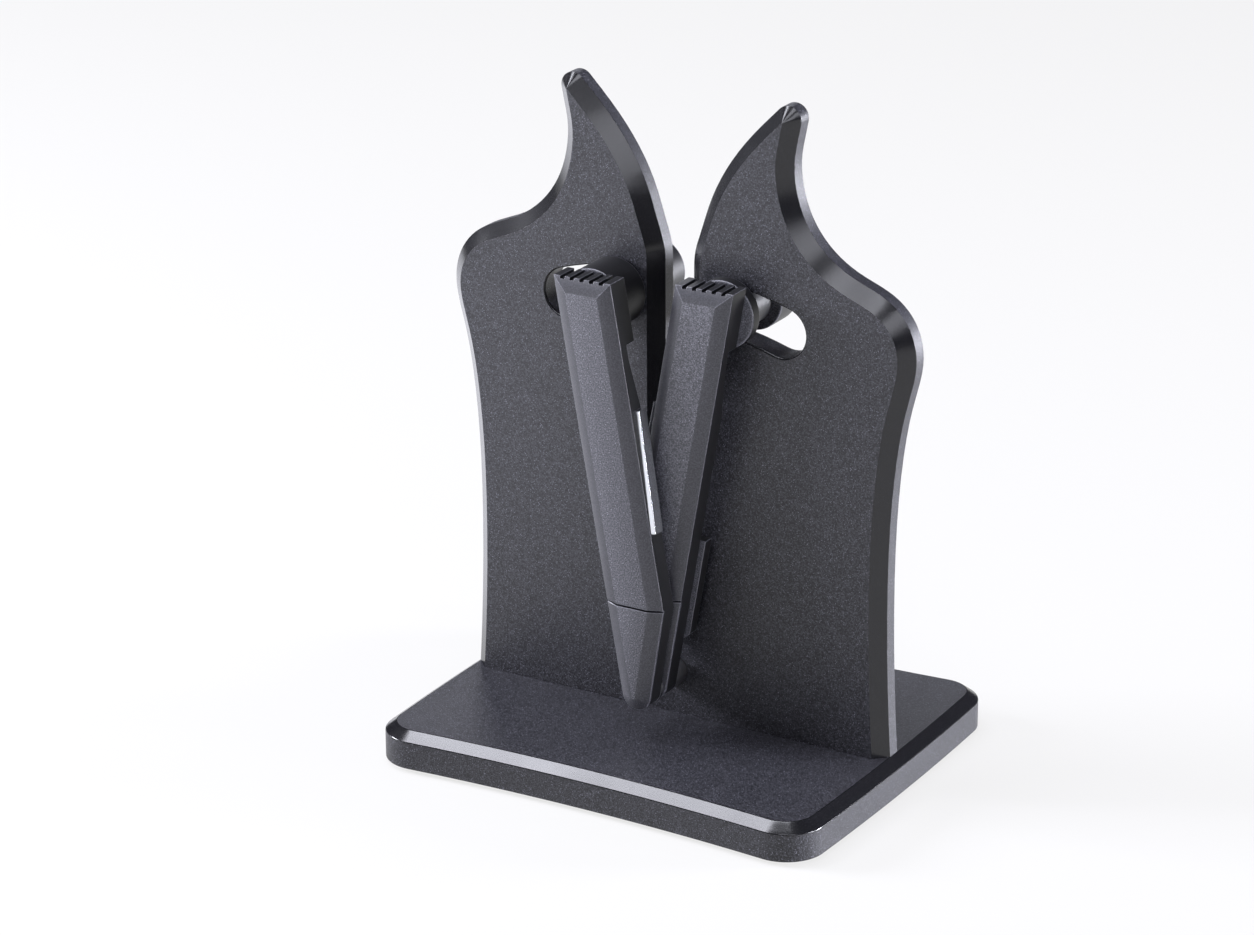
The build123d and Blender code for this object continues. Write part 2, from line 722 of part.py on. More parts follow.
# The arms: the same pieces on both sides, each in its own layer in front of the upright
for side in ("left", "right"):
    sign = side_sign[side]
    back = arm_back[side]
    front = back - arm_depth
    block_back = back + head_block_extra
    hub_bore = hub_radius[side] + running_fit
    tip_back = front + tip_cover_thickness
    bar_center = (
        front + arm_bevel_depth + bar_set_back + bar_depth / 2,
        along_arm(inner_side, bar_middle_height),
    )
    top_middle = (arm_width / 2 - nose_radius, arm_top_height)
    lean = radians(arm_lean)
    rib_x = -sign * (
        along_arm(*top_middle) * sin(lean) - top_middle[0] * cos(lean)
    )

    # Bar with bevelled edges, a thinner waist, a ribbed head block and a seat for the sharpening bar
    with BuildPart() as arm_bar:
        with BuildSketch(arm_plane(side, block_back)):
            arm_outline(side)
        extrude(amount=arm_depth + head_block_extra)
        face = arm_bar.faces().sort_by(Axis.Y)[0]
        chamfer(face.edges(), arm_bevel_run, arm_bevel_depth, reference=face)
        with BuildSketch(arm_plane(side, tip_back)):
            level_band(side, 0, seam_height + seam_groove / 2)
        extrude(amount=tip_cover_thickness, mode=Mode.SUBTRACT)
        with BuildSketch(Plane.YZ):
            with BuildLine():
                Polyline(
                    (back, 0),
                    (back, waist_start_height),
                    (front + waist_depth, waist_height),
                    (front + waist_depth, head_block_height),
                    (block_back + overrun, head_block_height),
                    (block_back + overrun, 0),
                    close=True,
                )
            make_face()
        extrude(amount=shoulder_half_width, both=True, mode=Mode.SUBTRACT)
        with BuildSketch(facing_front(block_back)):
            with Locations((rib_x, arm_top_height)):
                with GridLocations(rib_pitch, 0, rib_count, 1):
                    Rectangle(rib_groove_width, 2 * rib_groove_depth)
        extrude(amount=block_back - front - rib_set_back, mode=Mode.SUBTRACT)
        with BuildSketch(arm_side_plane(side, inner_side - bar_seat)):
            with Locations(Location((bar_center[0], bar_center[1], 0), (0, 0, -bar_tilt))):
                Rectangle(bar_depth, bar_length)
        extrude(amount=sign * (bar_seat + overrun), mode=Mode.SUBTRACT)
        with BuildSketch(arm_plane(side, back)):
            Circle(hub_bore)
        extrude(amount=arm_depth, mode=Mode.SUBTRACT)
        if side == "right":
            with BuildSketch(arm_plane(side, back)):
                with Locations(*hinge_screw_places(side)):
                    Circle(hinge_screw_radius + screw_play)
            extrude(amount=hinge_screw_bite + screw_play, mode=Mode.SUBTRACT)
        with BuildSketch(arm_plane(side, tip_back)):
            with Locations(arm_point(side, 0, tip_peg_height)):
                Circle(tip_peg_radius + screw_play)
            if side == "left":
                Circle(pin_radius + clip_width + head_play)
        extrude(amount=-tip_peg_length, mode=Mode.SUBTRACT)
        with BuildSketch(facing_front(block_back)):
            with Locations(head_place(side)):
                Circle(spigot_radius + running_fit)
        extrude(amount=spigot_length + running_fit, mode=Mode.SUBTRACT)
    keep(arm_bar.part, f"{side}_arm_bar")

    # Tip cover, the bevelled front layer below the seam, with a peg into the bar
    with BuildPart() as tip_cover:
        with BuildSketch(arm_plane(side, tip_back)):
            arm_outline(side)
        extrude(amount=tip_cover_thickness)
        face = tip_cover.faces().sort_by(Axis.Y)[0]
        chamfer(face.edges(), arm_bevel_run, arm_bevel_depth, reference=face)
        with BuildSketch(arm_plane(side, tip_back)):
            level_band(side, seam_height - seam_groove / 2, 2 * arm_top_height)
        extrude(amount=tip_cover_thickness, mode=Mode.SUBTRACT)
        if side == "right":
            with BuildSketch(arm_plane(side, tip_back)):
                Circle(hub_bore)
            extrude(amount=tip_cover_thickness, mode=Mode.SUBTRACT)
        else:
            with BuildSketch(arm_plane(side, tip_back)):
                Circle(pin_radius + head_play)
            extrude(amount=tip_back - pin_front + pin_end_play, mode=Mode.SUBTRACT)
        with BuildSketch(arm_plane(side, tip_back)):
            with Locations(arm_point(side, 0, tip_peg_height)):
                Circle(tip_peg_radius)
        extrude(amount=-(tip_peg_length - head_play))
    keep(tip_cover.part, f"{side}_tip_cover")

    # Sharpening bar, half let into the arm's inner side and tilted back
    with BuildPart() as sharpening_bar:
        with BuildSketch(arm_side_plane(side, inner_side - bar_seat)):
            with Locations(Location((bar_center[0], bar_center[1], 0), (0, 0, -bar_tilt))):
                Rectangle(bar_depth, bar_length)
        extrude(amount=sign * (bar_seat + bar_proud))
        outer_face = sharpening_bar.faces().sort_by(Axis.X)[-1 if side == "left" else 0]
        chamfer(outer_face.edges(), bar_edge)
    keep(sharpening_bar.part, f"{side}_sharpening_bar")

    # Guide post: a drum behind the head block, a neck through the slot and a spigot in the block
    with BuildPart() as guide_post:
        with BuildSketch(facing_front(neck_front)):
            with Locations(head_place(side)):
                Circle(head_radius)
        extrude(amount=neck_front - block_back)
        with BuildSketch(facing_front(block_back)):
            with Locations(head_place(side)):
                Circle(spigot_radius)
        extrude(amount=spigot_length)
        with BuildSketch(facing_front(cap_front)):
            with Locations(head_place(side)):
                Circle(neck_radius)
        extrude(amount=cap_front - neck_front)
        with BuildSketch(facing_front(cap_front)):
            with Locations(head_place(side)):
                Circle(small_screw_radius + screw_play)
        extrude(amount=cap_screw_length, mode=Mode.SUBTRACT)
    keep(guide_post.part, f"{side}_guide_post")

    # Cap behind the wing, and the screw that holds it on the post
    with BuildPart() as guide_cap:
        with BuildSketch(facing_front(cap_front + cap_length)):
            with Locations(head_place(side)):
                Circle(cap_radius)
        extrude(amount=cap_length)
        chamfer(guide_cap.faces().sort_by(Axis.Y)[-1].edges(), cap_edge)
        with BuildSketch(facing_front(cap_front + cap_length)):
            with Locations(head_place(side)):
                Circle(small_head_radius + head_play)
        extrude(amount=cap_screw_sink + small_head_height, mode=Mode.SUBTRACT)
        with BuildSketch(facing_front(cap_front + cap_length)):
            with Locations(head_place(side)):
                Circle(small_screw_radius + screw_play)
        extrude(amount=cap_length, mode=Mode.SUBTRACT)
    keep(guide_cap.part, f"{side}_guide_cap")
    cap_screw = screws(
        facing_front(cap_front + cap_length - cap_screw_sink),
        [head_place(side)],
        small_head_radius,
        small_head_height,
        small_screw_radius,
        cap_screw_length,
    )
    keep(cap_screw, f"{side}_cap_screw")

# Hinge plate behind the right arm, stepped out past its outer side
plate_plane = arm_plane("right", arm_back["right"] + hinge_plate_thickness)
with BuildPart() as hinge_plate:
    with BuildSketch(plate_plane):
        hinge_plate_outline("right")
        with Locations(*hinge_screw_places("right")):
            Circle(hinge_screw_radius + screw_play, mode=Mode.SUBTRACT)
    extrude(amount=hinge_plate_thickness)
    with BuildSketch(plate_plane):
        with Locations(*hinge_screw_places("right")):
            Circle(hinge_head_radius + screw_play)
    extrude(amount=hinge_head_height, mode=Mode.SUBTRACT)
keep(hinge_plate.part, "right_hinge_plate")

# Screws of the hinge plate
hinge_screws = screws(
    plate_plane,
    hinge_screw_places("right"),
    hinge_head_radius,
    hinge_head_height,
    hinge_screw_radius,
    hinge_plate_thickness - hinge_head_height + hinge_screw_bite,
)
keep(hinge_screws, "right_hinge_screws")

# Hub of the right arm: a sleeve through the arm and a shoulder through the front cover
tab_slot = spring_strip + 2 * running_fit
with BuildPart() as right_hub:
    with BuildSketch(facing_front(arm_back["right"])):
        with Locations((0, pivot_height)):
            Circle(right_hub_radius)
    extrude(amount=arm_depth)
    with BuildSketch(facing_front(right_spring_back)):
        with Locations((0, pivot_height)):
            Circle(hub_shoulder_radius)
    extrude(amount=right_spring_back - arm_back["right"])
    with BuildSketch(facing_front(right_spring_back)):
        with Locations((0, pivot_height)):
            Circle(left_hub_radius + running_fit)
    extrude(amount=right_spring_back - arm_back["right"] + arm_depth, mode=Mode.SUBTRACT)
    with BuildSketch(facing_front(right_spring_back)):
        with Locations((-hub_shoulder_radius, pivot_height)):
            Rectangle(2 * (hub_shoulder_radius - spring_tab_radius + running_fit), tab_slot)
    extrude(amount=spring_strip_width + spring_side_play, mode=Mode.SUBTRACT)
keep(right_hub.part, "right_pivot_hub")

# Hub of the left arm, a sleeve on the pin through the right arm's hub, with a shoulder between the arms
with BuildPart() as left_hub:
    with BuildSketch(facing_front(hub_rear)):
        with Locations((0, pivot_height)):
            Circle(left_hub_radius)
    extrude(amount=hub_rear - left_hub_front)
    with BuildSketch(facing_front(arm_back["left"] + arm_gap - layer_gap)):
        with Locations((0, pivot_height)):
            Circle(hub_shoulder_radius)
    extrude(amount=arm_gap - layer_gap)
    with BuildSketch(facing_front(hub_rear)):
        with Locations((0, pivot_height)):
            Circle(pin_radius + running_fit)
    extrude(amount=hub_rear - left_hub_front, mode=Mode.SUBTRACT)
keep(left_hub.part, "left_pivot_hub")

# Collar on the end of the left hub, slotted for its spring
with BuildPart() as spring_collar:
    with BuildSketch(facing_front(hub_rear)):
        with Locations((0, pivot_height)):
            Circle(hub_shoulder_radius)
            Circle(left_hub_radius, mode=Mode.SUBTRACT)
        with Locations((hub_shoulder_radius, pivot_height)):
            Rectangle(
                2 * (hub_shoulder_radius - spring_tab_radius + running_fit), tab_slot, mode=Mode.SUBTRACT
            )
    extrude(amount=spring_strip_width + spring_side_play)
keep(spring_collar.part, "left_spring_collar")
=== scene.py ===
# %% [markdown]
# A pull through knife sharpener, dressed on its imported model. The model holds every piece at its real
# size, and this lesson gives the pieces their soft moulded edges, their grained plastic and steel, and
# a studio that lights them. It starts with the model as a fixed frame, in metres, +Z up, front at -Y. The
# Standard view shows each colour as it is written.

# %% Load the model
import json
import math

import bmesh
import bpy
from mathutils import Matrix, Vector


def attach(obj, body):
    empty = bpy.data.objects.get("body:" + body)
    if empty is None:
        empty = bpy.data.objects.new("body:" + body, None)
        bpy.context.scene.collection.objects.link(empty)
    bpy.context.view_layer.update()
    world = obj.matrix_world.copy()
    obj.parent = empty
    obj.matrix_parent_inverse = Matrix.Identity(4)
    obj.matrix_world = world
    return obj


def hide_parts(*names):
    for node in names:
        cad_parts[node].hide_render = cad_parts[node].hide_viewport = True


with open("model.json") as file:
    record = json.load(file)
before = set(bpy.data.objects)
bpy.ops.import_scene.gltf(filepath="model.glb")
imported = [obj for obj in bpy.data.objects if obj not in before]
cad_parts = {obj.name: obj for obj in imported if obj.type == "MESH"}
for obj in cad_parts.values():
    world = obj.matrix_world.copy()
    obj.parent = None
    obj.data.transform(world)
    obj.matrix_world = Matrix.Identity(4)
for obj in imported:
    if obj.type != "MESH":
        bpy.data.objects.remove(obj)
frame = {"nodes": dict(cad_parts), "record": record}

MM = 0.001
scene = bpy.context.scene
scene.view_settings.view_transform = "Standard"
nodes = frame["nodes"]
bodies = frame["record"]["behaviour"]["bodies"]
slots = {part["node"]: part["material_slot"] for part in frame["record"]["subparts"]}
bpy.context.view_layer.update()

# %% [markdown]
# The camera stands in front, to the right and a little above, with a long lens. Its place is given as a
# turn round the object, a height above the horizon and a distance, because that is how a photographer
# thinks of it. A constraint could aim it, but a small roll levels the picture, and that is simpler in a
# matrix, which is built from three directions: right, up and back.

# %% Camera
CAMERA_AZIMUTH = math.radians(30.787)
CAMERA_ELEVATION = math.radians(21.077)
CAMERA_ROLL = math.radians(-0.317)
CAMERA_DISTANCE = 1163.3 * MM
CAMERA_TARGET = Vector((-17.69, 0.34, 76.63)) * MM
CAMERA_LENS = 125.0
SENSOR_WIDTH = 36.0


def make_camera():
    """Camera at the photograph's viewing angle."""
    azimuth, elevation = CAMERA_AZIMUTH, CAMERA_ELEVATION
    back = Vector(
        (
            math.sin(azimuth) * math.cos(elevation),
            -math.cos(azimuth) * math.cos(elevation),
            math.sin(elevation),
        )
    )
    level_right = Vector((math.cos(azimuth), math.sin(azimuth), 0))
    level_up = back.cross(level_right)
    right = level_right * math.cos(CAMERA_ROLL) + level_up * math.sin(CAMERA_ROLL)
    up = level_up * math.cos(CAMERA_ROLL) - level_right * math.sin(CAMERA_ROLL)
    data = bpy.data.cameras.new("photo_camera")
    data.sensor_width = SENSOR_WIDTH
    data.lens = CAMERA_LENS
    camera = bpy.data.objects.new("photo_camera", data)
    scene.collection.objects.link(camera)
    turn = Matrix((right, up, back)).transposed().to_4x4()
    camera.matrix_world = Matrix.Translation(CAMERA_TARGET + back * CAMERA_DISTANCE) @ turn
    return camera


scene.camera = make_camera()
print("camera at", [round(place, 3) for place in scene.camera.matrix_world.translation])

# %% [markdown]
# The floor is a wide pale sheet that fills the picture to the edge. A sheet lit only by the lamps would
# fade with distance, so most of what the camera sees of it is a steady white glow. The small rest is real
# light on the sheet, which keeps the object's shadow as a soft breath under the base. Reflections have
# their own share: on the right they see the even glow, and on the left mostly the sheet itself, which the
# soft boxes brighten there. So the left wing mirrors a lighter floor than the right one does.

# %% Floor
FLOOR_HALF_WIDTH = 9.0
FLOOR_WHITE = (0.868, 0.865, 0.865, 1)
FLOOR_PAPER = (0.8, 0.8, 0.8, 1)
FLOOR_SEEN_SHARE = 0.88
# Share of the glow in reflections, left and right of the strip of floor where it changes
FLOOR_MIRRORED_SHARES = (0.35, 1.0)
FLOOR_CHANGE_STRIP = (-150 * MM, -70 * MM)


def link(tree, source, target):
    """Join two sockets of a node tree."""
    tree.links.new(source, target)


def add_maths(tree, operation, first, second):
    """Result of a maths node on two numbers, each a socket or a plain value."""
    node = tree.nodes.new("ShaderNodeMath")
    node.operation = operation
    for socket, value in zip(node.inputs, (first, second)):
        if isinstance(value, bpy.types.NodeSocket):
            link(tree, value, socket)
        else:
            socket.default_value = value
    return node.outputs[0]


def make_floor_material():
    """White sheet that shows the camera and the reflections a share of steady glow."""
    material = bpy.data.materials.new("studio_floor")
    material.use_nodes = True
    tree = material.node_tree
    tree.nodes.clear()
    output = tree.nodes.new("ShaderNodeOutputMaterial")
    paper = tree.nodes.new("ShaderNodeBsdfDiffuse")
    paper.inputs["Color"].default_value = FLOOR_PAPER
    glow = tree.nodes.new("ShaderNodeEmission")
    glow.inputs["Color"].default_value = FLOOR_WHITE
    path = tree.nodes.new("ShaderNodeLightPath")
    glossy, passed = path.outputs["Is Glossy Ray"], path.outputs["Is Transmission Ray"]
    indirect = add_maths(tree, "MAXIMUM", glossy, passed)
    place = tree.nodes.new("ShaderNodeSeparateXYZ")
    link(tree, tree.nodes.new("ShaderNodeTexCoord").outputs["Object"], place.inputs[0])
    across = tree.nodes.new("ShaderNodeMapRange")
    across.inputs["From Min"].default_value, across.inputs["From Max"].default_value = FLOOR_CHANGE_STRIP
    across.inputs["To Min"].default_value, across.inputs["To Max"].default_value = FLOOR_MIRRORED_SHARES
    link(tree, place.outputs["X"], across.inputs["Value"])
    mirrored = add_maths(tree, "MULTIPLY", indirect, across.outputs[0])
    seen = add_maths(tree, "MULTIPLY", path.outputs["Is Camera Ray"], FLOOR_SEEN_SHARE)
    mix = tree.nodes.new("ShaderNodeMixShader")
    link(tree, add_maths(tree, "MAXIMUM", seen, mirrored), mix.inputs[0])
    link(tree, paper.outputs[0], mix.inputs[1])
    link(tree, glow.outputs[0], mix.inputs[2])
    link(tree, mix.outputs[0], output.inputs["Surface"])
    return material


def make_floor():
    """Flat sheet at the height of the feet."""
    mesh = bpy.data.meshes.new("studio_floor")
    corners = [
        (across * FLOOR_HALF_WIDTH, along * FLOOR_HALF_WIDTH, 0)
        for across, along in ((-1, -1), (1, -1), (1, 1), (-1, 1))
    ]
    mesh.from_pydata(corners, [], [(0, 1, 2, 3)])
    mesh.materials.append(make_floor_material())
    floor = bpy.data.objects.new("studio_floor", mesh)
    scene.collection.objects.link(floor)


make_floor()
print("floor", 2 * FLOOR_HALF_WIDTH, "m wide")

# %% [markdown]
# Dark plastic shows its lamps more than its colour, so the lamps are placed by what the bevels mirror.
# A long soft box hangs above and turns the front bevel of the base bright. A small one, above and to the
# left, does the same for the sloped tops of the arms. A strong one at the left side lights the left wing
# and the faces of the arms, and the arms shade the right wing. Two at the right, low and set back, draw
# the light edge on the right side and leave the fronts alone. Two dim cards in front, to the right, are
# what the bevels of the horns and shoulders mirror. A weak box low at the left and one behind keep the
# rest from going black.

# %% Lamps
LAMPS = [
    # name, direction from the object, distance, width, height, power in watts
    ("top_softbox", (-0.22, -0.06, 0.97), 1.2, 0.34, 1.00, 15.5),
    ("shoulder_softbox", (-0.48, -0.38, 0.79), 1.2, 0.30, 0.35, 3.9),
    ("left_softbox", (-0.95, -0.35, 0.35), 1.3, 0.40, 0.40, 40.0),
    ("low_softbox", (-0.85, -0.75, 0.15), 1.3, 0.40, 0.30, 1.5),
    ("back_softbox", (-0.48, 0.80, 0.36), 1.3, 0.50, 0.40, 1.1),
    ("right_softbox", (0.95, 0.10, 0.06), 1.3, 0.30, 0.30, 16.0),
    ("side_strip", (0.85, 0.52, 0.04), 1.3, 0.30, 0.30, 60.0),
    ("right_card", (0.62, -0.60, 0.53), 1.3, 0.38, 0.58, 3.2),
    ("upper_card", (0.19, -0.56, 0.81), 1.3, 0.42, 0.56, 4.6),
]
LAMP_AIM = Vector((0, 0, 80)) * MM
LAMP_COLOUR = (0.90, 0.91, 1.0)
WORLD_GREY = (0.03, 0.03, 0.032, 1)


def make_lamp(name, direction, distance, width, height, power):
    """Soft box that points at the middle of the object."""
    data = bpy.data.lights.new(name, "AREA")
    data.shape = "RECTANGLE"
    data.size = width
    data.size_y = height
    data.energy = power
    data.color = LAMP_COLOUR
    lamp = bpy.data.objects.new(name, data)
    scene.collection.objects.link(lamp)
    away = Vector(direction).normalized()
    lamp.location = LAMP_AIM + away * distance
    lamp.rotation_mode = "QUATERNION"
    lamp.rotation_quaternion = (-away).to_track_quat("-Z", "Y")


def make_world():
    """Plain grey world."""
    world = bpy.data.worlds.new("studio_world")
    world.use_nodes = True
    world.node_tree.nodes["Background"].inputs["Color"].default_value = WORLD_GREY
    world.node_tree.nodes["Background"].inputs["Strength"].default_value = 1
    scene.world = world


for lamp_facts in LAMPS:
    make_lamp(*lamp_facts)
make_world()
print("lamps", [facts[0] for facts in LAMPS])

# %% [markdown]
# The plastic is moulded against an etched tool, so its flat faces carry a very fine grain. Tiny bright
# specks in the colour are painted glints, a painted highlight for the sparkle of that grain under the
# lamps.
# A picture of grain would need a seam somewhere. A noise in the piece's own space has none, and its grains
# keep one size on every piece. The grain is a node group, because several finishes use it: it puts out a
# colour, a roughness and a height, and each material places it with its own values.

# %% Grain group
GRAIN_SIZE = 0.36 * MM
GRAIN_DETAIL = 2
# Noise values between which the ground turns into grain
GRAIN_STEP = (0.38, 0.64)
# Spacing of the painted glints in grains, how near to its middle a painted glint starts, and the grains
# that have one
PAINTED_GLINT_GRAINS = 1.25
PAINTED_GLINT_STEP = (0.24, 0.08)
PAINTED_GLINT_HOST_STEP = (0.40, 0.55)
# Size in grains, and reach, of the slow change of roughness
BROAD_GRAINS = 60
ROUGH_WANDER = 0.05


def add_socket(tree, name, direction, kind):
    """Put a named socket on a node group."""
    tree.interface.new_socket(name=name, in_out=direction, socket_type=kind)


def make_noise(tree, vector, size, detail):
    """Noise whose blobs are about size across, in metres."""
    noise = tree.nodes.new("ShaderNodeTexNoise")
    noise.inputs["Scale"].default_value = 1 / size
    noise.inputs["Detail"].default_value = detail
    link(tree, vector, noise.inputs["Vector"])
    return noise.outputs["Fac"]


def make_step(tree, factor, ends):
    """Smooth step of a factor from one end to the other, put out from 0 to 1."""
    step = tree.nodes.new("ShaderNodeMapRange")
    step.interpolation_type = "SMOOTHSTEP"
    step.inputs["From Min"].default_value, step.inputs["From Max"].default_value = ends
    link(tree, factor, step.inputs["Value"])
    return step.outputs[0]


def make_wander(tree, factor, ends):
    """Plain change of a factor from 0 to 1 into a value between two ends."""
    change = tree.nodes.new("ShaderNodeMapRange")
    change.inputs["To Min"].default_value, change.inputs["To Max"].default_value = ends
    link(tree, factor, change.inputs["Value"])
    return change.outputs[0]


def mix_colours(tree, factor, first, second):
    """Mix of two colours, each a socket or a plain value."""
    mix = tree.nodes.new("ShaderNodeMix")
    mix.data_type = "RGBA"
    link(tree, factor, mix.inputs["Factor"])
    for socket, colour in ((mix.inputs["A"], first), (mix.inputs["B"], second)):
        if isinstance(colour, bpy.types.NodeSocket):
            link(tree, colour, socket)
        else:
            socket.default_value = colour
    return mix.outputs["Result"]


def make_grain_group():
    """Moulded grain: dark ground, lighter grains, a few bright painted glints (painted highlight specks),
    and a height for a bump.
    """
    tree = bpy.data.node_groups.new("moulded_grain", "ShaderNodeTree")
    for name in ("Ground", "Grain", "Painted Glint"):
        add_socket(tree, name, "INPUT", "NodeSocketColor")
    add_socket(tree, "Rough", "INPUT", "NodeSocketFloat")
    add_socket(tree, "Colour", "OUTPUT", "NodeSocketColor")
    add_socket(tree, "Roughness", "OUTPUT", "NodeSocketFloat")
    add_socket(tree, "Height", "OUTPUT", "NodeSocketFloat")
    inputs = tree.nodes.new("NodeGroupInput").outputs
    outputs = tree.nodes.new("NodeGroupOutput").inputs
    place = tree.nodes.new("ShaderNodeTexCoord").outputs["Object"]
    fine = make_noise(tree, place, GRAIN_SIZE, GRAIN_DETAIL)
    broad = make_noise(tree, place, BROAD_GRAINS * GRAIN_SIZE, GRAIN_DETAIL)
    painted_glint_spots = tree.nodes.new("ShaderNodeTexVoronoi")
    painted_glint_spots.inputs["Scale"].default_value = 1 / (PAINTED_GLINT_GRAINS * GRAIN_SIZE)
    link(tree, place, painted_glint_spots.inputs["Vector"])
    grains = make_step(tree, fine, GRAIN_STEP)
    painted_glint_specks = make_step(tree, painted_glint_spots.outputs["Distance"], PAINTED_GLINT_STEP)
    painted_glints = add_maths(tree, "MULTIPLY", painted_glint_specks, make_step(tree, fine, PAINTED_GLINT_HOST_STEP))
    ground = mix_colours(tree, grains, inputs["Ground"], inputs["Grain"])
    colour = mix_colours(tree, painted_glints, ground, inputs["Painted Glint"])
    wander = make_wander(tree, broad, (-ROUGH_WANDER, ROUGH_WANDER))
    rough = add_maths(tree, "ADD", inputs["Rough"], wander)
    link(tree, colour, outputs["Colour"])
    link(tree, rough, outputs["Roughness"])
    link(tree, fine, outputs["Height"])
    return tree


grain_group = make_grain_group()
print("grain group sockets", [item.name for item in grain_group.interface.items_tree])

# %% [markdown]
# Each finish is a Principled shader. The plastic ones are fed by the grain group. On a real moulding the
# etching stops at the edge of a face, so the bevels are smoother and darker than the faces. A single
# plastic would miss that, so the base and the upright have two finishes and the arms have four. On the arms
# two of
# these are painted light: the sides are a much darker copy of the arm plastic, a painted shade, and the
# rounded edges a lighter one, a painted highlight. The steels, the rubber and the hidden plastic are plain,
# with a slow change of tone and roughness.

# %% Finishes
# The glint tones are painted glints: bright specks painted into the colour as highlight.
GRAINED = dict(ground=(0.003, 0.003, 0.005), grain=(0.028, 0.028, 0.034), painted_glint=(0.22, 0.22, 0.27))
# Dark smooth tones: the bevels of the base and the upright, and on the arm sides a painted shade.
SMOOTH_AND_PAINTED_SHADE = dict(ground=(0.004, 0.004, 0.005), grain=(0.006, 0.006, 0.007), painted_glint=(0.02, 0.02, 0.024))
ARM = dict(ground=(0.026, 0.026, 0.031), grain=(0.084, 0.084, 0.098), painted_glint=(0.30, 0.30, 0.35))
ARM_SMOOTH = dict(ground=(0.022, 0.022, 0.027), grain=(0.038, 0.038, 0.045), painted_glint=(0.08, 0.08, 0.09))
# Tones of the rounded arm edges: lighter than the arm faces, a painted highlight line.
ARM_PAINTED_HIGHLIGHT_EDGE = dict(ground=(0.05, 0.05, 0.06), grain=(0.10, 0.10, 0.115), painted_glint=(0.20, 0.20, 0.23))
BUMP_HEIGHT = 0.05 * MM
MOTTLE_SIZE = 2.0 * MM
MOTTLE_DETAIL = 3


def new_material(name):
    """Material with a Principled shader."""
    material = bpy.data.materials.new(name)
    material.use_nodes = True
    return material, material.node_tree, material.node_tree.nodes["Principled BSDF"]


def make_grained(name, tones, rough, bump):
    """Grained plastic with the tones of its ground, grains and painted glints."""
    material, tree, shader = new_material(name)
    grain = tree.nodes.new("ShaderNodeGroup")
    grain.node_tree = grain_group
    for socket, key in (("Ground", "ground"), ("Grain", "grain"), ("Painted Glint", "painted_glint")):
        grain.inputs[socket].default_value = (*tones[key], 1)
    grain.inputs["Rough"].default_value = rough
    height = tree.nodes.new("ShaderNodeBump")
    height.inputs["Strength"].default_value = bump
    height.inputs["Distance"].default_value = BUMP_HEIGHT
    link(tree, grain.outputs["Height"], height.inputs["Height"])
    link(tree, height.outputs["Normal"], shader.inputs["Normal"])
    link(tree, grain.outputs["Colour"], shader.inputs["Base Color"])
    link(tree, grain.outputs["Roughness"], shader.inputs["Roughness"])
    return material


def make_plain(name, colour, rough, metallic, spread):
    """Plain finish whose tone and roughness change slowly, by a share of their value."""
    material, tree, shader = new_material(name)
    shader.inputs["Metallic"].default_value = metallic
    place = tree.nodes.new("ShaderNodeTexCoord").outputs["Object"]
    noise = make_noise(tree, place, MOTTLE_SIZE, MOTTLE_DETAIL)
    darker = tuple(part * (1 - spread) for part in colour) + (1,)
    tone = mix_colours(tree, noise, darker, (*colour, 1))
    link(tree, tone, shader.inputs["Base Color"])
    wander = make_wander(tree, noise, (rough * (1 - spread), rough * (1 + spread)))
    link(tree, wander, shader.inputs["Roughness"])
    return material


GRAINED_FINISHES = {
    # name: tones, roughness, strength of the bump
    "grained_plastic": (GRAINED, 0.42, 0.8),
    "smooth_bevel": (SMOOTH_AND_PAINTED_SHADE, 0.20, 0.04),
    "arm_plastic": (ARM, 0.42, 0.5),
    "arm_bevel": (ARM_SMOOTH, 0.40, 0.2),
    # Arm sides: the dark smooth tones, a painted shade.
    "arm_side_painted_shade": (SMOOTH_AND_PAINTED_SHADE, 0.40, 0.2),
    "arm_painted_highlight_edge": (ARM_PAINTED_HIGHLIGHT_EDGE, 0.34, 0.2),
}
PLAIN_FINISHES = {
    # name: colour, roughness, metallic, share by which tone and roughness change
    "inner_plastic": ((0.03, 0.03, 0.033), 0.45, 0.0, 0.25),
    "hard_steel": ((0.66, 0.67, 0.70), 0.26, 1.0, 0.03),
    "bright_steel": ((0.62, 0.62, 0.64), 0.3, 1.0, 0.25),
    "spring_steel": ((0.40, 0.41, 0.44), 0.35, 1.0, 0.25),
    "black_steel": ((0.05, 0.05, 0.055), 0.4, 1.0, 0.25),
    "ballast": ((0.35, 0.35, 0.36), 0.5, 1.0, 0.25),
    "foot_rubber": ((0.03, 0.03, 0.03), 0.8, 0.0, 0.25),
}
finishes = {name: make_grained(name, *facts) for name, facts in GRAINED_FINISHES.items()}
finishes.update({name: make_plain(name, *facts) for name, facts in PLAIN_FINISHES.items()})
for node, shown in nodes.items():
    shown.data.materials.clear()
    shown.data.materials.append(finishes[slots[node]])
print("finishes", sorted(finishes))

# %% [markdown]
# The model comes as loose triangles, and its own meshes stay as they are. Anything that is to change a
# piece works on a copy, so each shown node is copied first. Merging its triangles and joining its flat
# faces leaves only the edges that the real moulding has, so a modifier rounds the right ones.

# %% Merged meshes
MERGE_DISTANCE = 0.002 * MM
FLAT_ANGLE = math.radians(0.1)


def merged_copy(node):
    """Copy of a node's mesh, merged, with its flat faces joined, and shaded smooth."""
    mesh = nodes[node].data.copy()
    shape = bmesh.new()
    shape.from_mesh(mesh)
    bmesh.ops.remove_doubles(shape, verts=shape.verts, dist=MERGE_DISTANCE)
    bmesh.ops.dissolve_limit(shape, angle_limit=FLAT_ANGLE, verts=shape.verts, edges=shape.edges)
    shape.to_mesh(mesh)
    shape.free()
    mesh.shade_smooth()
    return mesh


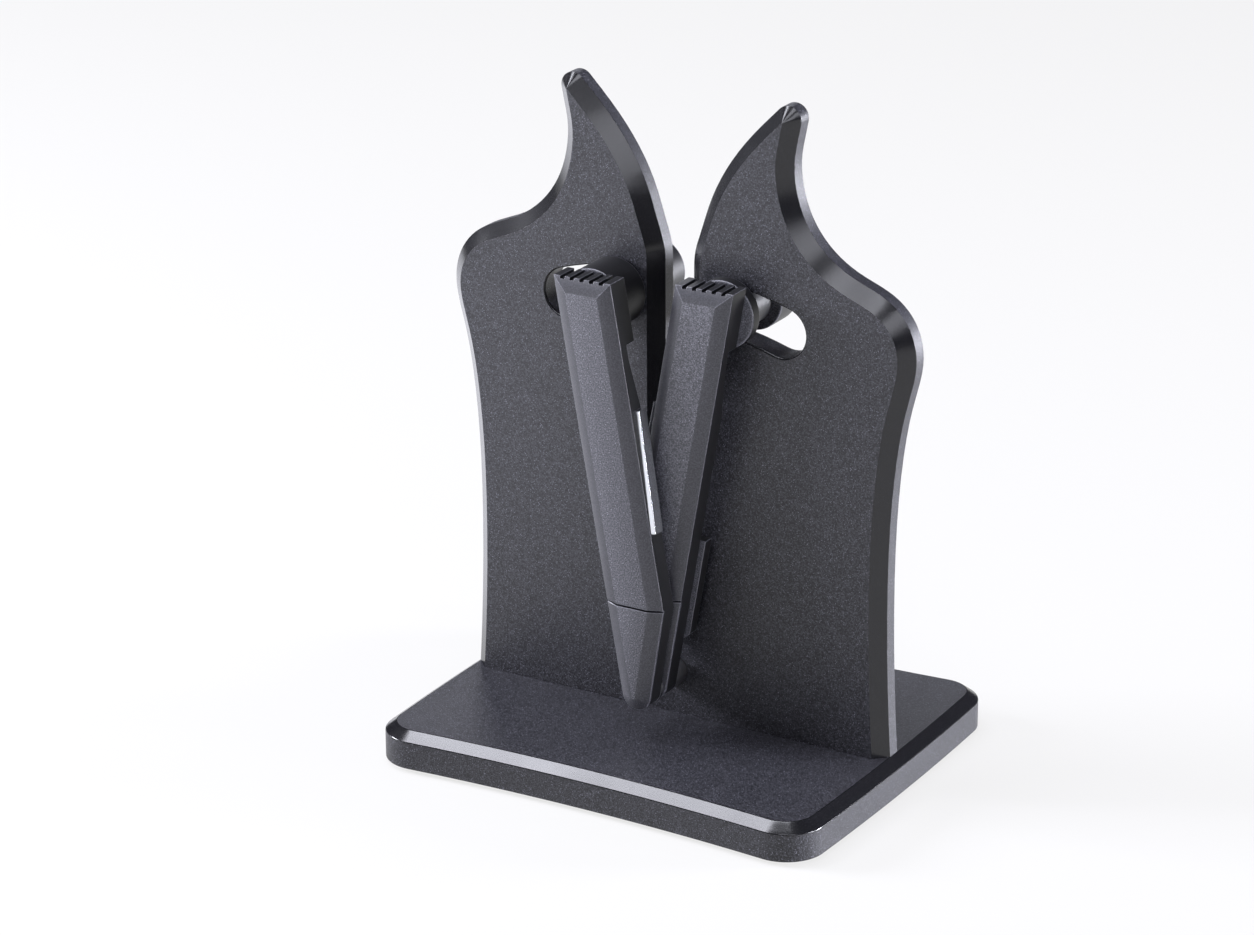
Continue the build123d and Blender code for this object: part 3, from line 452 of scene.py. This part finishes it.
def apply_modifiers(piece):
    """Turn a piece's modifiers into its mesh."""
    graph = bpy.context.evaluated_depsgraph_get()
    mesh = bpy.data.meshes.new_from_object(piece.evaluated_get(graph))
    piece.modifiers.clear()
    piece.data = mesh


def body_of_node(node):
    """Body that carries a node."""
    return next(body for body, members in bodies.items() if node in members)


print("nodes on each body", {body: len(members) for body, members in bodies.items()})

# %% [markdown]
# A moulded edge is never sharp, and the thin light line along it is most of what makes plastic look
# real. The edges could be rounded one by one in the model, but a Bevel modifier rounds all those of a copy
# with one number. A Weighted Normal modifier then shades the long bevels evenly, because a curved bevel is
# made of thin triangles that would each mirror the lamps on their own. The copy stands for the node, on
# the same body.
#
# The finishes follow the direction of the surface. Each family of pieces has one axis that its grained
# faces look along: up for the base, and to the front for the others. A face that leans from this axis is a
# bevel, and one that turns right away from it is a side. The Bevel modifier marks the rounded edges itself,
# through its material setting. On the arms the side finish is a much darker copy of the arm plastic, a
# painted shade, and the edge finish a lighter one, a painted highlight line.

# %% Rounded copies
TURNED_FINISHES = {
    # finish of the faces: finishes of slanting bevels, sides and rounded edges
    "grained_plastic": ("smooth_bevel", "grained_plastic", "smooth_bevel"),
    "arm_plastic": ("arm_bevel", "arm_side_painted_shade", "arm_painted_highlight_edge"),
}
# Material slots of a rounded copy: the piece's own finish, and the three above
MAIN_FACE, BEVEL_FACE, SIDE_FACE, EDGE_FACE = range(4)
# Play in a normal's reach along the axis, which is 1 on a face and 0 on a side
FACE_TILT = 0.06
EDGE_ANGLE = math.radians(28)
EDGE_SEGMENTS = 3


def sort_faces(piece, axis):
    """Give slanting faces and sides their own finish, by their turn from an axis."""
    for face in piece.data.polygons:
        turn = abs(face.normal[axis])
        if face.material_index == MAIN_FACE and turn < 1 - FACE_TILT:
            face.material_index = BEVEL_FACE if turn > FACE_TILT else SIDE_FACE


def rounded_copy(node, radius, axis):
    """Piece that stands for a node, with its edges rounded."""
    piece = bpy.data.objects.new(node + "_moulding", merged_copy(node))
    scene.collection.objects.link(piece)
    bevel = piece.modifiers.new("soft_edges", "BEVEL")
    bevel.width = radius
    bevel.segments = EDGE_SEGMENTS
    bevel.limit_method = "ANGLE"
    bevel.angle_limit = EDGE_ANGLE
    shading = piece.modifiers.new("even_shading", "WEIGHTED_NORMAL")
    shading.mode = "FACE_AREA_WITH_ANGLE"
    turned = TURNED_FINISHES.get(slots[node], ())
    for finish in turned:
        piece.data.materials.append(finishes[finish])
    # On the arms this edge finish is a painted highlight line.
    if turned:
        bevel.material = EDGE_FACE
    apply_modifiers(piece)
    if turned:
        sort_faces(piece, axis)
    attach(piece, body_of_node(node))
    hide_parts(node)
    return piece


FRONT_AXIS, UP_AXIS = 1, 2
ROUNDED = {
    # family: radius of its edges, axis that its grained faces look along
    "base_shell": (0.3 * MM, UP_AXIS),
    "frame_front_cover": (0.38 * MM, FRONT_AXIS),
    "frame_rear_shell": (0.28 * MM, FRONT_AXIS),
    "arm_bar": (0.28 * MM, FRONT_AXIS),
    "tip_cover": (0.28 * MM, FRONT_AXIS),
    "hinge_plate": (0.3 * MM, FRONT_AXIS),
    "guide_post": (0.4 * MM, FRONT_AXIS),
    "guide_cap": (0.4 * MM, FRONT_AXIS),
    "sharpening_bar": (0.12 * MM, FRONT_AXIS),
}
for node in sorted(nodes):
    family = node.removeprefix("left_").removeprefix("right_")
    if family in ROUNDED:
        piece = rounded_copy(node, *ROUNDED[family])
        print(piece.name, len(piece.data.polygons), "faces")

# %% [markdown]
# The screws repeat, so one node tree makes them all. It builds one screw from its sizes, a head and a
# shank joined and a hexagon driven into the head, and puts a copy on every point it is given. The points
# come from the model: each loose part of a screw node is one screw. A tree keeps the screws equal, and
# a new head size is one number. The screws that hold the upright stay as the model has them, because the
# closed base hides them.

# %% Screws
SMALL_SCREW = (2.8 * MM, 1.3 * MM, 1.25 * MM)
PLATE_SCREW = (2.1 * MM, 1.4 * MM, 1.0 * MM)
SCREWS = {
    # node: heading of the heads, and head radius, head height and shank radius
    "frame_joint_screws": ("back", SMALL_SCREW),
    "base_cover_screws": ("down", SMALL_SCREW),
    "left_cap_screw": ("back", SMALL_SCREW),
    "right_cap_screw": ("back", SMALL_SCREW),
    "right_hinge_screws": ("back", PLATE_SCREW),
}
HEADINGS = {
    # name: direction, turn about X that brings a screw's head to it
    "back": (Vector((0, 1, 0)), math.radians(-90)),
    "down": (Vector((0, 0, -1)), math.radians(180)),
}
HEAD_SIDES = 48
SHANK_SIDES = 24
RECESS_SIDES = 6
RECESS_SHARE = 0.5
# How far a cylinder's middle lies under its point, as a share of its depth
UNDER_SHARE = 0.5
CENTRED_SHARE = 0.0
SCREW_EDGE = 0.15 * MM
SCREW_EDGE_SEGMENTS = 2
SCREW_EDGE_ANGLE = math.radians(40)


def loose_parts(mesh):
    """Positions of the vertices of each loose part of a mesh."""
    shape = bmesh.new()
    shape.from_mesh(mesh)
    waiting = set(shape.verts)
    parts = []
    for start in shape.verts:
        if start not in waiting:
            continue
        waiting.discard(start)
        reached = [start]
        for vertex in reached:
            for edge in vertex.link_edges:
                other = edge.other_vert(vertex)
                if other in waiting:
                    waiting.discard(other)
                    reached.append(other)
        parts.append([vertex.co.copy() for vertex in reached])
    shape.free()
    return parts


def screw_places(node, heading):
    """Centre of the outer face of each screw's head, and the screws' length."""
    places = []
    for part in loose_parts(merged_copy(node)):
        middle = sum(part, Vector()) / len(part)
        reach = [point.dot(heading) for point in part]
        places.append(middle + heading * (max(reach) - middle.dot(heading)))
        length = max(reach) - min(reach)
    return places, length


def add_cylinder(tree, sides, radius, depth, drop):
    """Cylinder along Z whose middle lies below the origin by a share of its depth."""
    cylinder = tree.nodes.new("GeometryNodeMeshCylinder")
    cylinder.inputs["Vertices"].default_value = sides
    move = tree.nodes.new("GeometryNodeTransform")
    place = tree.nodes.new("ShaderNodeCombineXYZ")
    link(tree, radius, cylinder.inputs["Radius"])
    link(tree, depth, cylinder.inputs["Depth"])
    link(tree, add_maths(tree, "MULTIPLY", depth, -drop), place.inputs["Z"])
    link(tree, cylinder.outputs["Mesh"], move.inputs["Geometry"])
    link(tree, place.outputs[0], move.inputs["Translation"])
    return move.outputs["Geometry"]


def add_boolean(tree, operation, first, second):
    """Two bodies joined, or the second cut from the first."""
    node = tree.nodes.new("GeometryNodeMeshBoolean")
    node.operation = operation
    if operation == "DIFFERENCE":
        link(tree, first, node.inputs["Mesh 1"])
    else:
        link(tree, first, node.inputs["Mesh 2"])
    link(tree, second, node.inputs["Mesh 2"])
    return node.outputs["Mesh"]


def make_screw_tree():
    """Tree that puts a screw with a hexagon recess on each point."""
    tree = bpy.data.node_groups.new("recessed_screws", "GeometryNodeTree")
    add_socket(tree, "Geometry", "INPUT", "NodeSocketGeometry")
    add_socket(tree, "Geometry", "OUTPUT", "NodeSocketGeometry")
    for name in ("Head Radius", "Head Height", "Shank Radius", "Length", "Recess Share", "Turn"):
        add_socket(tree, name, "INPUT", "NodeSocketFloat")
    add_socket(tree, "Finish", "INPUT", "NodeSocketMaterial")
    inputs = tree.nodes.new("NodeGroupInput").outputs
    outputs = tree.nodes.new("NodeGroupOutput").inputs
    recess_radius = add_maths(tree, "MULTIPLY", inputs["Head Radius"], inputs["Recess Share"])
    head = add_cylinder(tree, HEAD_SIDES, inputs["Head Radius"], inputs["Head Height"], UNDER_SHARE)
    shank = add_cylinder(tree, SHANK_SIDES, inputs["Shank Radius"], inputs["Length"], UNDER_SHARE)
    recess = add_cylinder(tree, RECESS_SIDES, recess_radius, inputs["Head Height"], CENTRED_SHARE)
    screw = add_boolean(tree, "DIFFERENCE", add_boolean(tree, "UNION", head, shank), recess)
    points = tree.nodes.new("GeometryNodeMeshToPoints")
    turn = tree.nodes.new("ShaderNodeCombineXYZ")
    copies = tree.nodes.new("GeometryNodeInstanceOnPoints")
    real = tree.nodes.new("GeometryNodeRealizeInstances")
    finish = tree.nodes.new("GeometryNodeSetMaterial")
    link(tree, inputs["Geometry"], points.inputs["Mesh"])
    link(tree, inputs["Turn"], turn.inputs["X"])
    link(tree, points.outputs["Points"], copies.inputs["Points"])
    link(tree, screw, copies.inputs["Instance"])
    link(tree, turn.outputs[0], copies.inputs["Rotation"])
    link(tree, copies.outputs["Instances"], real.inputs["Geometry"])
    link(tree, real.outputs["Geometry"], finish.inputs["Geometry"])
    link(tree, inputs["Finish"], finish.inputs["Material"])
    link(tree, finish.outputs["Geometry"], outputs["Geometry"])
    return tree


def make_screws(node, tree, heading, sizes):
    """Piece with the screws of a node, made by the tree."""
    direction, turn = HEADINGS[heading]
    head_radius, head_height, shank_radius = sizes
    places, length = screw_places(node, direction)
    mesh = bpy.data.meshes.new(node + "_places")
    mesh.from_pydata([tuple(place) for place in places], [], [])
    piece = bpy.data.objects.new(node + "_turned", mesh)
    scene.collection.objects.link(piece)
    maker = piece.modifiers.new("screws", "NODES")
    maker.node_group = tree
    values = {
        "Head Radius": head_radius,
        "Head Height": head_height,
        "Shank Radius": shank_radius,
        "Length": length,
        "Recess Share": RECESS_SHARE,
        "Turn": turn,
        "Finish": finishes[slots[node]],
    }
    for item in tree.interface.items_tree:
        if item.name in values:
            maker[item.identifier] = values[item.name]
    edges = piece.modifiers.new("soft_edges", "BEVEL")
    edges.width = SCREW_EDGE
    edges.segments = SCREW_EDGE_SEGMENTS
    edges.limit_method = "ANGLE"
    edges.angle_limit = SCREW_EDGE_ANGLE
    apply_modifiers(piece)
    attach(piece, body_of_node(node))
    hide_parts(node)
    return piece


screw_tree = make_screw_tree()
for node, (heading, sizes) in SCREWS.items():
    piece = make_screws(node, screw_tree, heading, sizes)
    print(piece.name, len(piece.data.polygons), "faces")
